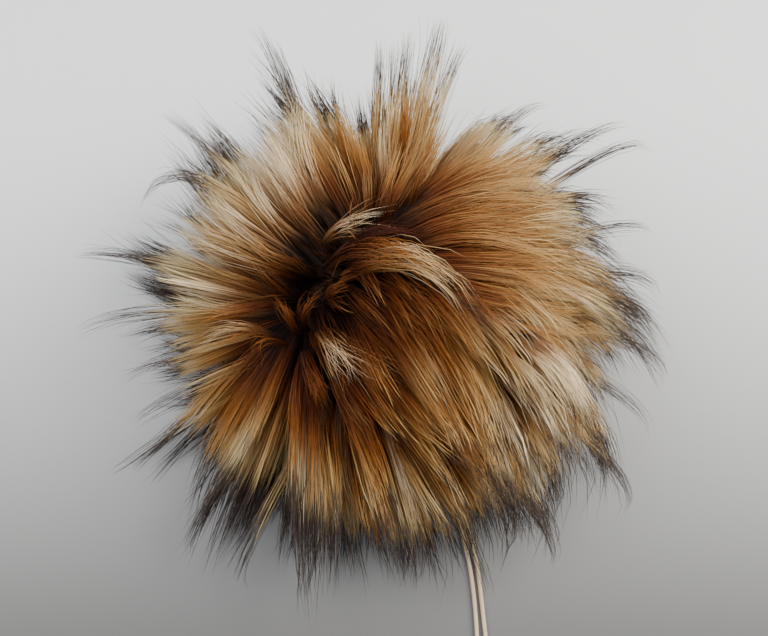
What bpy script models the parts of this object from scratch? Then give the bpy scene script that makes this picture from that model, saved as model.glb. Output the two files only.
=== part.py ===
"""Long-pile faux-fur pom pom with a two-strand cotton tie, lying on its gathered base.

Metres, +Z up. The origin is the centre of the flat spot under the ball, on the surface that the
pom pom lies on. The pile parts along a short line on the ball's upper left and streams away from
it. "Face" coordinates look at that side: across is +X, up is mostly +Y, and out points at a
viewer who stands at -Y and looks steeply down.
"""

import math
import random

import bmesh
import bpy
from mathutils import Quaternion, Vector
from mathutils.geometry import interpolate_bezier

# Ball and its pose
BALL_RADIUS = 0.032
BALL_CENTRE = Vector((0.0, 0.0, 0.030))
BALL_SUBDIVISIONS = 3
FLAT_SPOT_DEPTH = 0.0034
FACE_TILT = math.radians(20.0)

# Locks of pile
LOWEST_ROOT = 0.0080
ROOT_INSET = 0.0012
LOCK_WIDTHS = (0.76, 0.52, 0.28)
PILE_REACH = 0.081
FRONT_REACH = 0.077
REACH_JITTER = 0.004
LOCK_GAP = 0.0026
NEIGHBOUR_SPAN = 0.030
SAMPLES = 16
FIRST_SAMPLE = 6
REST_HEIGHT = 0.0030
REST_HEIGHT_AT_ROOT = 0.0045
LEVELLING_DEPTH = 0.007
SHORT_ROOT_HEIGHT = 0.003
FULL_ROOT_HEIGHT = 0.024
SHORTEST_LOCK = 0.22
SEED = 21

# The parting, as two directions in face coordinates, and how the pile spreads away from it
PARTING_START = Vector((-0.72, 0.02, 0.69)).normalized()
PARTING_END = Vector((0.20, 0.72, 0.66)).normalized()
SPREAD = math.radians(49.0)
SPREAD_FADE = math.radians(125.0)
SWEEP = math.radians(11.0)
SWEEP_MIDDLE = math.radians(-25.0)
SWEEP_HALF_WIDTH = math.radians(50.0)
DOME = 0.15
DOME_LEFT = 0.04

# Tufts that reach further out than the rest, or less far, seen square to the face:
# direction about the ball's centre in degrees (0 = across, 90 = up), half width, and reach in metres.
TUFTS = (
    {"angle": 112.0, "half_width": 6.0, "reach": 0.094},
    {"angle": 83.0, "half_width": 9.0, "reach": 0.090},
    {"angle": 68.0, "half_width": 6.0, "reach": 0.062},
    {"angle": 55.0, "half_width": 6.0, "reach": 0.076},
    {"angle": 33.0, "half_width": 8.0, "reach": 0.099},
    {"angle": -8.0, "half_width": 9.0, "reach": 0.092},
    {"angle": -38.0, "half_width": 8.0, "reach": 0.095},
    {"angle": -56.0, "half_width": 7.0, "reach": 0.093},
    {"angle": -78.0, "half_width": 10.0, "reach": 0.094},
    {"angle": -120.0, "half_width": 9.0, "reach": 0.094},
    {"angle": -148.0, "half_width": 7.0, "reach": 0.093},
    {"angle": 176.0, "half_width": 10.0, "reach": 0.095},
    {"angle": 136.0, "half_width": 8.0, "reach": 0.088},
)

# Tie: each strand's route on the surface, as plan positions from its root to its free end
TIE_DIAMETER = 0.0014
TIE_SIDES_RESOLUTION = 2
TIE_POINT_SPACING = 0.0036
TIE_LIFT = 0.0030
TIE_LIFT_WIDTH = 0.0075
TIE_STRANDS = (
    {
        "name": "tie_cord_a",
        "route": ((0.0080, -0.0143), (0.0180, -0.0400), (0.0290, -0.0690), (0.0325, -0.0990),
                  (0.0310, -0.1280), (0.0350, -0.1560)),
    },
    {
        "name": "tie_cord_b",
        "route": ((0.0106, -0.0133), (0.0206, -0.0392), (0.0313, -0.0680), (0.0352, -0.0985),
                  (0.0372, -0.1250), (0.0450, -0.1480)),
    },
)

FUR_COLOUR = (0.200, 0.085, 0.022, 1.0)
COTTON_COLOUR = (0.800, 0.680, 0.520, 1.0)

ACROSS = Vector((1.0, 0.0, 0.0))
UP = Vector((0.0, math.cos(FACE_TILT), math.sin(FACE_TILT)))
OUT = Vector((0.0, -math.sin(FACE_TILT), math.cos(FACE_TILT)))


def plan_points(route):
    """Evenly spaced plan points on the smooth curve through a strand's own points."""
    corners = [Vector(point) for point in route]
    slopes = []
    for index in range(len(corners)):
        before = corners[max(index - 1, 0)]
        after = corners[min(index + 1, len(corners) - 1)]
        slopes.append((after - before) / 6.0)
    points = [corners[0]]
    for index in range(len(corners) - 1):
        start, end = corners[index], corners[index + 1]
        count = max(round((end - start).length / TIE_POINT_SPACING), 2)
        handle, far_handle = start + slopes[index], end - slopes[index + 1]
        points += interpolate_bezier(start, handle, far_handle, end, count + 1)[1:]
    return points


TIE_PLANS = [plan_points(strand["route"]) for strand in TIE_STRANDS]


def clear_scene():
    for obj in list(bpy.data.objects):
        bpy.data.objects.remove(obj, do_unlink=True)


def smooth_step(low, high, value):
    share = min(max((value - low) / (high - low), 0.0), 1.0)
    return share * share * (3.0 - 2.0 * share)


def from_face(direction):
    """World direction of one given in face coordinates."""
    return ACROSS * direction.x + UP * direction.y + OUT * direction.z


def to_face(direction):
    return Vector((direction.dot(ACROSS), direction.dot(UP), direction.dot(OUT)))


def parting_point(unit):
    """Nearest direction to this one on the arc of the parting."""
    start, end = from_face(PARTING_START), from_face(PARTING_END)
    length = start.angle(end)
    side = (end - start * start.dot(end)).normalized()
    along = math.atan2(unit.dot(side), unit.dot(start))
    along = min(max(along, 0.0), length)
    return start * math.cos(along) + side * math.sin(along)


def rest_level(position, along):
    """Height that a lock's middle line keeps above the surface: less towards its tip, where it is
    thinner, and more where it crosses the tie."""
    plan = Vector((position.x, position.y))
    nearest = min((plan - point).length for points in TIE_PLANS for point in points)
    lift = TIE_LIFT * math.exp(-((nearest / TIE_LIFT_WIDTH) ** 2))
    return REST_HEIGHT_AT_ROOT + (REST_HEIGHT - REST_HEIGHT_AT_ROOT) * along + lift


def levelled(position, along):
    """The same place, lifted so that what would sink below the surface lies level on it."""
    level = rest_level(position, along)
    room = position.z - level
    if room < LEVELLING_DEPTH:
        room = LEVELLING_DEPTH * math.exp(room / LEVELLING_DEPTH - 1.0)
    return Vector((position.x, position.y, level + room))


def spread_direction(unit):
    """Direction of the tip of a lock rooted this way from the ball's centre: turned further away
    from the parting than its root is."""
    parting = parting_point(unit)
    axis = parting.cross(unit)
    if axis.length < 1e-6:
        return unit.copy()
    share = max(1.0 - unit.angle(parting) / SPREAD_FADE, 0.0)
    return Quaternion(axis.normalized(), SPREAD * share) @ unit


def swept(direction):
    """The same direction, turned clockwise about the face on the lower right."""
    face = to_face(direction)
    off = (math.atan2(face.y, face.x) - SWEEP_MIDDLE) / SWEEP_HALF_WIDTH
    rim = smooth_step(0.3, 0.9, math.hypot(face.x, face.y))
    return Quaternion(OUT, -SWEEP * math.exp(-off * off) * rim) @ direction


def reach_towards(unit, jitter):
    """Distance from the ball's centre to the tip of a lock that points this way."""
    face = to_face(unit)
    rim = math.hypot(face.x, face.y)
    reach = FRONT_REACH + (PILE_REACH - FRONT_REACH) * smooth_step(0.5, 0.95, rim)
    angle = math.degrees(math.atan2(face.y, face.x))
    weight_sum = 0.0
    for tuft in TUFTS:
        difference = (angle - tuft["angle"] + 180.0) % 360.0 - 180.0
        weight = math.exp(-((difference / tuft["half_width"]) ** 2))
        reach += weight * (tuft["reach"] - reach) * smooth_step(0.6, 0.95, rim)
        weight_sum += weight
    return reach + jitter * REACH_JITTER * (1.0 - min(weight_sum, 1.0))


def lock_curve(root, jitter):
    """Root, middle and tip control points of a lock's curve. A lock whose root is low is shorter,
    because the ball lies on it."""
    unit = (root - BALL_CENTRE).normalized()
    straight = spread_direction(unit)
    tip_unit = swept(straight)
    reach = reach_towards(tip_unit, jitter)
    grown = smooth_step(SHORT_ROOT_HEIGHT, FULL_ROOT_HEIGHT, root.z)
    share = SHORTEST_LOCK + (1.0 - SHORTEST_LOCK) * grown
    tip = root.lerp(BALL_CENTRE + tip_unit * reach, share)
    unswept_tip = root.lerp(BALL_CENTRE + straight * reach, share)
    dome = DOME_LEFT + (DOME - DOME_LEFT) * smooth_step(-0.3, 0.5, to_face(tip_unit).x)
    bulge = (unit + straight) * (dome * (unswept_tip - root).length)
    return root, root.lerp(unswept_tip, 0.5) + bulge, tip


def lock_place(curve, along):
    """Place on a lock's middle line, as a share of the way from its root to its tip."""
    start, middle, tip = curve
    near, far = start.lerp(middle, along), middle.lerp(tip, along)
    return levelled(near.lerp(far, along), along)


def stands_clear(places, others):
    """Whether a lock's outer part keeps apart from every lock that is already there."""
    for other in others:
        if (other[0] - places[0]).length > NEIGHBOUR_SPAN:
            continue
        if min((a - b).length for a in places for b in other) < LOCK_GAP:
            return False
    return True


def grow_lock(mesh, face, curve):
    """Pulls one face of the ball out into a curved lock that tapers to a point."""
    root = face.calc_center_median()
    offsets = [corner.co - root for corner in face.verts]
    direction, place = (root - BALL_CENTRE).normalized(), root
    for ring, width in enumerate(LOCK_WIDTHS):
        target = lock_place(curve, (ring + 1) / (len(LOCK_WIDTHS) + 1))
        heading = (target - place).normalized()
        turn = direction.rotation_difference(heading)
        offsets = [turn @ offset for offset in offsets]
        direction, place = heading, target
        face = bmesh.ops.extrude_discrete_faces(mesh, faces=[face])["faces"][0]
        for corner, offset in zip(face.verts, offsets):
            corner.co = place + offset * width
    face = bmesh.ops.extrude_discrete_faces(mesh, faces=[face])["faces"][0]
    bmesh.ops.pointmerge(mesh, verts=list(face.verts), merge_co=lock_place(curve, 1.0))


def flatten_base(mesh):
    """Presses the ball's underside into a small flat spot, one flat face."""
    pressed = [point for point in mesh.verts if point.co.z < FLAT_SPOT_DEPTH]
    for point in pressed:
        point.co.z = 0.0
    flat = [face for face in mesh.faces if all(point.co.z == 0.0 for point in face.verts)]
    inner = {edge for face in flat for edge in face.edges if all(f in flat for f in edge.link_faces)}
    bmesh.ops.dissolve_edges(mesh, edges=list(inner), use_verts=True)


def add_object(name, data, material, collection):
    data.materials.append(material)
    obj = bpy.data.objects.new(name, data)
    collection.objects.link(obj)
    return obj


def build_fur(material, collection):
    """The ball's backing with its locks of pile, as one solid."""
    mesh = bmesh.new()
    bmesh.ops.create_icosphere(mesh, subdivisions=BALL_SUBDIVISIONS, radius=BALL_RADIUS)
    bmesh.ops.translate(mesh, verts=mesh.verts, vec=BALL_CENTRE)
    flatten_base(mesh)
    generator = random.Random(SEED)
    locks, kept = [], []
    for face in mesh.faces:
        root = face.calc_center_median()
        if root.z < LOWEST_ROOT:
            continue
        curve = lock_curve(root, generator.uniform(-1.0, 1.0))
        places = [lock_place(curve, step / SAMPLES) for step in range(FIRST_SAMPLE, SAMPLES + 1)]
        if stands_clear(places, kept):
            kept.append(places)
            locks.append((face, curve))
    roots = [face for face, _ in locks]
    bmesh.ops.inset_individual(mesh, faces=roots, thickness=ROOT_INSET, use_even_offset=True)
    for face, curve in locks:
        grow_lock(mesh, face, curve)
    bmesh.ops.recalc_face_normals(mesh, faces=mesh.faces)
    data = bpy.data.meshes.new("fur")
    mesh.to_mesh(data)
    mesh.free()
    return add_object("fur", data, material, collection)


def build_tie_cord(strand, material, collection):
    """One cotton strand, a tube that lies along the surface to its bare end."""
    curve = bpy.data.curves.new(strand["name"], "CURVE")
    curve.dimensions = "3D"
    curve.bevel_depth = TIE_DIAMETER / 2.0
    curve.bevel_resolution = TIE_SIDES_RESOLUTION
    curve.use_fill_caps = True
    points = plan_points(strand["route"])
    spline = curve.splines.new("POLY")
    spline.points.add(len(points) - 1)
    for point, plan in zip(spline.points, points):
        point.co = (plan.x, plan.y, TIE_DIAMETER / 2.0, 1.0)
    return add_object(strand["name"], curve, material, collection)


def make_material(name, colour, roughness):
    material = bpy.data.materials.new(name)
    material.use_nodes = True
    shader = material.node_tree.nodes["Principled BSDF"]
    shader.inputs["Base Color"].default_value = colour
    shader.inputs["Roughness"].default_value = roughness
    shader.inputs["Metallic"].default_value = 0.0
    material.diffuse_color = colour
    return material


def main():
    clear_scene()
    collection = bpy.data.collections.new("pom_pom")
    bpy.context.scene.collection.children.link(collection)
    build_fur(make_material("faux_fur", FUR_COLOUR, 0.75), collection)
    cotton = make_material("cotton", COTTON_COLOUR, 0.9)
    for strand in TIE_STRANDS:
        build_tie_cord(strand, cotton, collection)


main()
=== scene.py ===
"""Dresses the faux-fur pom pom: pile, guard hairs, backing ball, cotton tie, and a plain studio.

Everything is in metres in the part's own frame. "Face" coordinates look square at the parted side
of the ball: x runs across, y mostly up, and z out towards the viewer.
"""

import logging
import math
from dataclasses import dataclass, field
from enum import Enum

import bpy
import numpy as np
from mathutils import Matrix


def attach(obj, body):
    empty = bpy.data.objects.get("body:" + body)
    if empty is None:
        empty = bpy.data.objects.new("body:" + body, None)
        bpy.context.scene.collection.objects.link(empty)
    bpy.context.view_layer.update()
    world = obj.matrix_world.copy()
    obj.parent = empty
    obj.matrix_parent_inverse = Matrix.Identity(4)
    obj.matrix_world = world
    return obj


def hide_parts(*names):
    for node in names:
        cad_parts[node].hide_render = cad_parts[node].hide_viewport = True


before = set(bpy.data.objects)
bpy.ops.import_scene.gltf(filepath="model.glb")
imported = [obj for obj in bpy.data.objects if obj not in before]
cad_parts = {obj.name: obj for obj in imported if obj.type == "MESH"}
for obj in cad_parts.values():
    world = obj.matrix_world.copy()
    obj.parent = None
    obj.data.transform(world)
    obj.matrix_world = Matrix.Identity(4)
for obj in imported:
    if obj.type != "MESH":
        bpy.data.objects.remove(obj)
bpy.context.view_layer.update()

Pair = tuple[float, float]
Triple = tuple[float, float, float]

LOG = logging.getLogger("pom_pom")
BAKE_MAP = "OFBake"

BALL_CENTRE = np.array([0.0, 0.0, 0.030])
BALL_RADIUS = 0.032
FACE_TILT = math.radians(20.0)
ACROSS = np.array([1.0, 0.0, 0.0])
UP = np.array([0.0, math.cos(FACE_TILT), math.sin(FACE_TILT)])
OUT = np.array([0.0, -math.sin(FACE_TILT), math.cos(FACE_TILT)])
FACE_AXES = np.stack([ACROSS, UP, OUT])
MILLIMETRE = 0.001
FULL_TURN = 2.0 * math.pi
RING_EASE = 0.9
LOCK_STATIONS = (0.0, 0.3, 0.6, 0.85, 1.05)
TIE_PATH_STEP = 6


def smooth_step(low: float, high: float, value: np.ndarray) -> np.ndarray:
    """Rises smoothly from 0 at low to 1 at high: share squared times three less twice the share.

    Args:
        low: Value at which the step starts.
        high: Value at which it ends.
        value: Values to map.

    Returns:
        Array of the same shape, from 0 to 1.
    """
    share = np.clip((value - low) / (high - low), 0.0, 1.0)
    return share * share * (3.0 - 2.0 * share)


def unit(vectors: np.ndarray) -> np.ndarray:
    """Scales vectors on the last axis to length one.

    Args:
        vectors: Array whose last axis holds x, y and z.

    Returns:
        Array of the same shape.
    """
    return vectors / np.maximum(np.linalg.norm(vectors, axis=-1, keepdims=True), 1e-9)


def to_face(vectors: np.ndarray) -> np.ndarray:
    """Turns world vectors into face coordinates by their dot products with the face's axes.

    Args:
        vectors: World vectors, on the last axis.

    Returns:
        The same vectors as x across, y up and z out.
    """
    return vectors @ FACE_AXES.T


def turn_about(vectors: np.ndarray, axes: np.ndarray, angles: np.ndarray) -> np.ndarray:
    """Turns each vector about its own unit axis: v cos a + (k x v) sin a + k (k.v)(1 - cos a).

    Args:
        vectors: Vectors to turn, n by 3.
        axes: Unit axes, n by 3 or 3.
        angles: Angles in radians, n.

    Returns:
        The turned vectors.
    """
    axes = np.broadcast_to(axes, vectors.shape)
    cosine, sine = np.cos(angles)[:, None], np.sin(angles)[:, None]
    along = np.sum(axes * vectors, axis=1, keepdims=True)
    return vectors * cosine + np.cross(axes, vectors) * sine + axes * along * (1.0 - cosine)


def smooth_route(corners: np.ndarray, spacing: float) -> np.ndarray:
    """Evenly spaced points on the smooth curve through a route's own points.

    Each span is a cubic Bezier curve whose handles are a sixth of the way between the points on
    either side.

    Args:
        corners: Route points, n by 2 or n by 3.
        spacing: Distance wanted between the new points.

    Returns:
        The points, m by 2 or m by 3.
    """
    before = np.concatenate([corners[:1], corners[:-1]])
    after = np.concatenate([corners[1:], corners[-1:]])
    slopes = (after - before) / 6.0
    pieces = [corners[:1]]
    for start, end, near, far in zip(corners, corners[1:], slopes, slopes[1:]):
        count = max(round(float(np.linalg.norm(end - start)) / spacing), 2)
        share = (np.arange(1, count + 1) / count)[:, None]
        rest = 1.0 - share
        pieces.append(
            start * rest**3
            + (start + near) * (3.0 * rest**2 * share)
            + (end - far) * (3.0 * rest * share**2)
            + end * share**3
        )
    return np.concatenate(pieces)


def add_mesh(name: str, points: np.ndarray, faces: list[np.ndarray]) -> bpy.types.Object:
    """Makes an object at the origin from arrays of points and of faces of one size each.

    Args:
        name: Object's name.
        points: Corner positions, n by 3.
        faces: Arrays of corner numbers, each m by 3 or m by 4.

    Returns:
        The linked object, shaded smooth.
    """
    mesh = bpy.data.meshes.new(name)
    loops = np.concatenate([block.ravel() for block in faces]).astype(np.int32)
    sizes = np.concatenate([np.full(len(block), block.shape[1]) for block in faces]).astype(np.int32)
    mesh.vertices.add(len(points))
    mesh.vertices.foreach_set("co", points.astype(np.float32).ravel())
    mesh.loops.add(len(loops))
    mesh.loops.foreach_set("vertex_index", loops)
    mesh.polygons.add(len(sizes))
    mesh.polygons.foreach_set("loop_start", (np.cumsum(sizes) - sizes).astype(np.int32))
    mesh.update(calc_edges=True)
    mesh.validate(clean_customdata=False)
    mesh.polygons.foreach_set("use_smooth", np.ones(len(sizes), dtype=bool))
    obj = bpy.data.objects.new(name, mesh)
    bpy.context.scene.collection.objects.link(obj)
    return obj


def add_uv(obj: bpy.types.Object, coordinates: np.ndarray) -> None:
    """Gives a mesh its UV map, one pair for each face corner.

    Args:
        obj: Mesh object.
        coordinates: UV pairs in face corner order, n by 2.
    """
    layer = obj.data.uv_layers.new(name=BAKE_MAP)
    layer.data.foreach_set("uv", coordinates.astype(np.float32).ravel())


def tube_faces(rings: int, spokes: int) -> list[np.ndarray]:
    """Faces of a closed tube: its walls, and a fan of triangles at each end.

    Args:
        rings: Number of rings, whose points come first, ring by ring.
        spokes: Points in a ring. The first end's middle point and the last end's follow the rings.

    Returns:
        Corner numbers of the walls, the first end and the last end.
    """
    number = np.arange(rings * spokes).reshape(rings, spokes)
    right = np.roll(number, -1, axis=1)
    walls = np.stack([number[:-1], number[1:], right[1:], right[:-1]], axis=-1).reshape(-1, 4)
    first, last = rings * spokes, rings * spokes + 1
    near = np.stack([np.full(spokes, first), number[0], right[0]], axis=1)
    far = np.stack([np.full(spokes, last), right[-1], number[-1]], axis=1)
    return [walls, near, far]


def tube_map(levels: np.ndarray, spokes: int) -> np.ndarray:
    """UV pairs of a closed tube's face corners: the way round across, the way along up.

    Args:
        levels: Height on the map of the first end's middle, of each ring, and of the last end's middle.
        spokes: Points in a ring.

    Returns:
        UV pairs in the order of tube_faces, n by 2.
    """
    share = np.arange(spokes + 1) / spokes
    left, right = share[:-1], share[1:]
    middle, one = (left + right) / 2.0, np.ones(spokes)
    here = np.repeat(levels[1:-2, None], spokes, axis=1)
    following = np.repeat(levels[2:-1, None], spokes, axis=1)
    lefts, rights = np.broadcast_to(left, here.shape), np.broadcast_to(right, here.shape)
    corners = (
        [lefts, here, lefts, following, rights, following, rights, here],
        [middle, one * levels[0], left, one * levels[1], right, one * levels[1]],
        [middle, one * levels[-1], right, one * levels[-2], left, one * levels[-2]],
    )
    return np.concatenate([np.stack(block, axis=-1).reshape(-1, 2) for block in corners])


def stand(
    name: str, data: bpy.types.ID, across: np.ndarray, up: np.ndarray, back: np.ndarray, where: np.ndarray
) -> bpy.types.Object:
    """Links a camera or a light that looks against its own back direction.

    Args:
        name: Object's name.
        data: Camera or light.
        across: Its direction to the right.
        up: Its direction up.
        back: Direction opposite to the one that it faces.
        where: Its place.

    Returns:
        The linked object.
    """
    obj = bpy.data.objects.new(name, data)
    bpy.context.scene.collection.objects.link(obj)
    columns = np.stack([across, up, back, where], axis=1)
    obj.matrix_world = Matrix([*map(list, columns), [0.0, 0.0, 0.0, 1.0]])
    return obj


def place(obj: bpy.types.Object, material: bpy.types.Material, slot: str, *nodes: str) -> None:
    """Gives a piece its material and body, and hides the solids that it stands for.

    Args:
        obj: The piece.
        material: Its finish.
        slot: Not used.
        nodes: Solids that the piece replaces.
    """
    obj.data.materials.append(material)
    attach(obj, "root")
    if nodes:
        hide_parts(*nodes)


class Shape(Enum):
    """Ways in which a strand's thickness runs from its root to its tip."""

    WOOL = "wool"
    GUARD = "guard"


@dataclass(frozen=True)
class Tuft:
    """A tuft that reaches further out than the rest, or less far.

    Attributes:
        angle: Direction about the ball's centre in degrees, 0 across and 90 up the face.
        half_width: Half width in degrees.
        reach: Distance of its tips from the ball's centre.
        gather: How far its strands are drawn together, from 0 to 1.
    """

    angle: float
    half_width: float
    reach: float
    gather: float


TUFTS = tuple(Tuft(*row) for row in (
    (124.0, 4.5, 0.070, -0.30),
    (112.0, 6.0, 0.092, 0.25),
    (101.0, 5.0, 0.076, -0.15),
    (83.0, 9.0, 0.094, 0.25),
    (67.0, 7.0, 0.056, -0.30),
    (55.0, 6.0, 0.084, 0.10),
    (33.0, 8.0, 0.096, 0.15),
    (-8.0, 9.0, 0.096, 0.15),
    (-38.0, 8.0, 0.097, 0.20),
    (-56.0, 7.0, 0.094, 0.20),
    (-76.0, 9.0, 0.089, 0.10),
    (-102.0, 8.0, 0.093, 0.20),
    (-122.0, 8.0, 0.097, 0.30),
    (-148.0, 7.0, 0.096, 0.25),
    (176.0, 10.0, 0.098, 0.15),
    (136.0, 8.0, 0.088, 0.20),
))


@dataclass(frozen=True)
class Shade:
    """A patch of the coat with its own tone, placed in face coordinates.

    Attributes:
        across: Middle of the patch across the face, in millimetres.
        up: Middle of the patch up the face, in millimetres.
        radius: Radius in millimetres.
        tone: Tone there, from 0, deep rust, to 1, cream.
        weight: How strongly it holds, from 0 to 1.
    """

    across: float
    up: float
    radius: float
    tone: float
    weight: float


SHADES = tuple(Shade(*row) for row in (
    (52.0, 16.0, 34.0, 0.42, 0.9),
    (35.0, -17.0, 14.0, 0.46, 0.7),
    (62.0, -3.0, 12.0, 0.64, 0.8),
    (-38.0, 42.0, 20.0, 0.80, 0.9),
    (-56.0, 12.0, 20.0, 0.68, 0.9),
    (-50.0, -34.0, 22.0, 0.14, 0.8),
    (-23.0, -44.0, 12.0, 0.05, 0.9),
    (0.0, -54.0, 18.0, 0.07, 0.9),
    # Deep rust below the parting: partly the locks' own colour and partly painted shade in the valley there.
    (7.0, -35.0, 14.0, 0.03, 0.85),
    (11.0, -61.0, 5.0, 0.86, 0.8),
    (28.0, -60.0, 11.0, 0.05, 0.8),
    (24.0, -50.0, 10.0, 0.06, 0.9),
    (36.0, -40.0, 9.0, 0.32, 0.7),
    (48.0, -46.0, 12.0, 0.64, 0.8),
    (57.0, -19.0, 8.0, 0.90, 0.8),
    (16.0, 62.0, 20.0, 0.62, 0.8),
    (-8.0, 44.0, 14.0, 0.46, 0.6),
    (-9.0, 60.0, 13.0, 0.56, 0.8),
    (14.0, 44.0, 9.0, 0.60, 0.7),
    (-24.0, 48.0, 8.0, 0.85, 0.6),
))
# Patches whose locks stop lower on their colours and so look darker: partly the coat's own darker brown and
# partly painted shade on the lower side and in the valley below the parting.
DARKER_AND_SHADED_PATCHES = tuple(Shade(*row) for row in (
    (0.0, -54.0, 26.0, 0.92, 0.7),
    (-22.0, -42.0, 9.0, 0.42, 0.95),
    (-8.0, -40.0, 8.0, 0.74, 0.9),
    (6.0, -34.0, 12.0, 0.60, 0.9),
    (26.0, -56.0, 9.0, 0.60, 0.9),
    (18.0, -50.0, 7.0, 0.74, 0.8),
    (36.0, -46.0, 7.0, 0.80, 0.8),
    (-44.0, -38.0, 6.0, 0.80, 0.7),
))


@dataclass(frozen=True)
class PileFlow:
    """Where the pile runs: out of the ball and away from a short parting, in closed form.

    A strand is a quadratic curve from its root on the ball, by a middle point that bulges out, to
    a tip that is turned further from the parting than the root is.
    """

    parting_start: Triple = (-0.72, 0.02, 0.69)
    parting_end: Triple = (0.20, 0.72, 0.66)
    spread: float = math.radians(49.0)
    spread_fade: float = math.radians(125.0)
    parting_softness: float = math.radians(9.0)
    sweep: float = math.radians(11.0)
    sweep_middle: float = math.radians(-25.0)
    sweep_half_width: float = math.radians(50.0)
    dome: float = 0.15
    dome_left: float = 0.04
    pile_reach: float = 0.081
    front_reach: float = 0.077
    shortest: float = 0.22
    short_root_height: float = 0.003
    full_root_height: float = 0.024
    sweep_rim: Pair = (0.3, 0.9)
    reach_rim: Pair = (0.5, 0.95)
    tuft_rim: Pair = (0.6, 0.95)
    dome_sides: Pair = (-0.3, 0.5)

    def parting_points(self, directions: np.ndarray) -> np.ndarray:
        """Nearest direction on the parting's arc to each direction.

        Args:
            directions: Unit vectors, n by 3.

        Returns:
            Unit vectors on the arc, n by 3.
        """
        start = unit(np.array(self.parting_start) @ FACE_AXES)
        end = unit(np.array(self.parting_end) @ FACE_AXES)
        length = math.acos(float(start @ end))
        side = unit(end - start * float(start @ end))
        along = np.clip(np.arctan2(directions @ side, directions @ start), 0.0, length)[:, None]
        return start * np.cos(along) + side * np.sin(along)

    def parting_angles(self, directions: np.ndarray) -> np.ndarray:
        """Angle of each direction from the parting.

        Args:
            directions: Unit vectors, n by 3.

        Returns:
            Angles in radians.
        """
        parting = self.parting_points(directions)
        across = np.linalg.norm(np.cross(parting, directions), axis=1)
        return np.arctan2(across, np.sum(parting * directions, axis=1))

    def spread_directions(self, directions: np.ndarray) -> np.ndarray:
        """Turns each root direction away from the parting, less with its distance from it.

        Args:
            directions: Root directions from the ball's centre, n by 3.

        Returns:
            Tip directions before the sweep.
        """
        angles = self.parting_angles(directions)
        share = np.clip(1.0 - angles / self.spread_fade, 0.0, None)
        share *= smooth_step(0.0, self.parting_softness, angles)
        axes = np.cross(self.parting_points(directions), directions)
        return turn_about(directions, unit(axes), self.spread * share)

    def swept(self, directions: np.ndarray) -> np.ndarray:
        """Turns directions clockwise about the face on its lower right.

        Args:
            directions: Tip directions, n by 3.

        Returns:
            The swept directions.
        """
        face = to_face(directions)
        off = (np.arctan2(face[:, 1], face[:, 0]) - self.sweep_middle) / self.sweep_half_width
        rim = smooth_step(*self.sweep_rim, np.hypot(face[:, 0], face[:, 1]))
        return turn_about(directions, OUT, -self.sweep * np.exp(-off * off) * rim)

    def gathered(self, directions: np.ndarray) -> tuple[np.ndarray, np.ndarray]:
        """Draws tips near the rim into their tufts and gives how far they reach.

        Each tuft turns nearby directions towards its own angle and pulls the reach to its own, by
        a bell curve of the angle between them.

        Args:
            directions: Tip directions, n by 3.

        Returns:
            The drawn directions and the reach of each.
        """
        face = to_face(directions)
        rim = np.hypot(face[:, 0], face[:, 1])
        reach = self.front_reach + (self.pile_reach - self.front_reach) * smooth_step(*self.reach_rim, rim)
        angle = np.degrees(np.arctan2(face[:, 1], face[:, 0]))
        turn = np.zeros(len(face))
        outer = smooth_step(*self.tuft_rim, rim)
        for tuft in TUFTS:
            difference = (angle - tuft.angle + 180.0) % 360.0 - 180.0
            weight = np.exp(-((difference / tuft.half_width) ** 2)) * outer
            reach += weight * (tuft.reach - reach)
            turn -= tuft.gather * difference * weight
        return turn_about(directions, OUT, np.radians(turn)), reach

    def control_points(
        self, roots: np.ndarray, length: np.ndarray
    ) -> tuple[np.ndarray, np.ndarray, np.ndarray, np.ndarray]:
        """Root, middle and tip of each strand's curve.

        Args:
            roots: Root directions from the ball's centre, n by 3.
            length: Share of the full pile length that each strand has, n.

        Returns:
            Roots, middles and tips, n by 3 each, and the tip directions.
        """
        root = BALL_CENTRE + roots * BALL_RADIUS
        straight = self.spread_directions(roots)
        tip_directions, reach = self.gathered(self.swept(straight))
        grown = smooth_step(self.short_root_height, self.full_root_height, root[:, 2])
        share = ((self.shortest + (1.0 - self.shortest) * grown) * length)[:, None]
        tip = root + (BALL_CENTRE + tip_directions * reach[:, None] - root) * share
        unswept = root + (BALL_CENTRE + straight * reach[:, None] - root) * share
        side = smooth_step(*self.dome_sides, to_face(tip_directions)[:, :1])
        dome = self.dome_left + (self.dome - self.dome_left) * side
        bulge = (roots + straight) * dome * np.linalg.norm(unswept - root, axis=1, keepdims=True)
        return root, (root + unswept) / 2.0 + bulge, tip, tip_directions


@dataclass(frozen=True)
class Surface:
    """The surface that the pom pom lies on, and how strands come to rest level on it."""

    rest_height: float = 0.0005
    levelling_depth: float = 0.0060
    tie_height: float = 0.012
    block: int = 20000
    tie_lift: float = 0.0016
    tie_lift_width: float = 0.0028

    def levelled(self, points: np.ndarray, routes: list[np.ndarray]) -> np.ndarray:
        """Lifts what would sink below the surface so that it lies level just over it.

        Where the room under a point is less than the levelling depth d, it becomes
        d exp(room / d - 1), which falls towards zero without reaching it.

        Args:
            points: Places on the strands, any shape with x, y, z last.
            routes: Plan points of the tie's strands, which the pile crosses over.

        Returns:
            The lifted places.
        """
        lift = np.zeros(points.shape[:-1])
        low = points[..., 2] < self.tie_height
        plan = points[low][:, None, :2]
        for route in routes:
            nearest = np.full(len(plan), 1.0)
            for block in np.array_split(np.arange(len(plan)), max(len(plan) // self.block, 1)):
                gaps = np.linalg.norm(plan[block] - route[None, :, :], axis=2)
                nearest[block] = gaps.min(axis=1)
            lift[low] = np.maximum(lift[low], np.exp(-((nearest / self.tie_lift_width) ** 2)))
        level = self.rest_height + self.tie_lift * lift
        room = points[..., 2] - level
        depth = self.levelling_depth
        room = np.where(room < depth, depth * np.exp(np.minimum(room, depth) / depth - 1.0), room)
        lifted = points.copy()
        lifted[..., 2] = level + room
        return lifted


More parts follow.
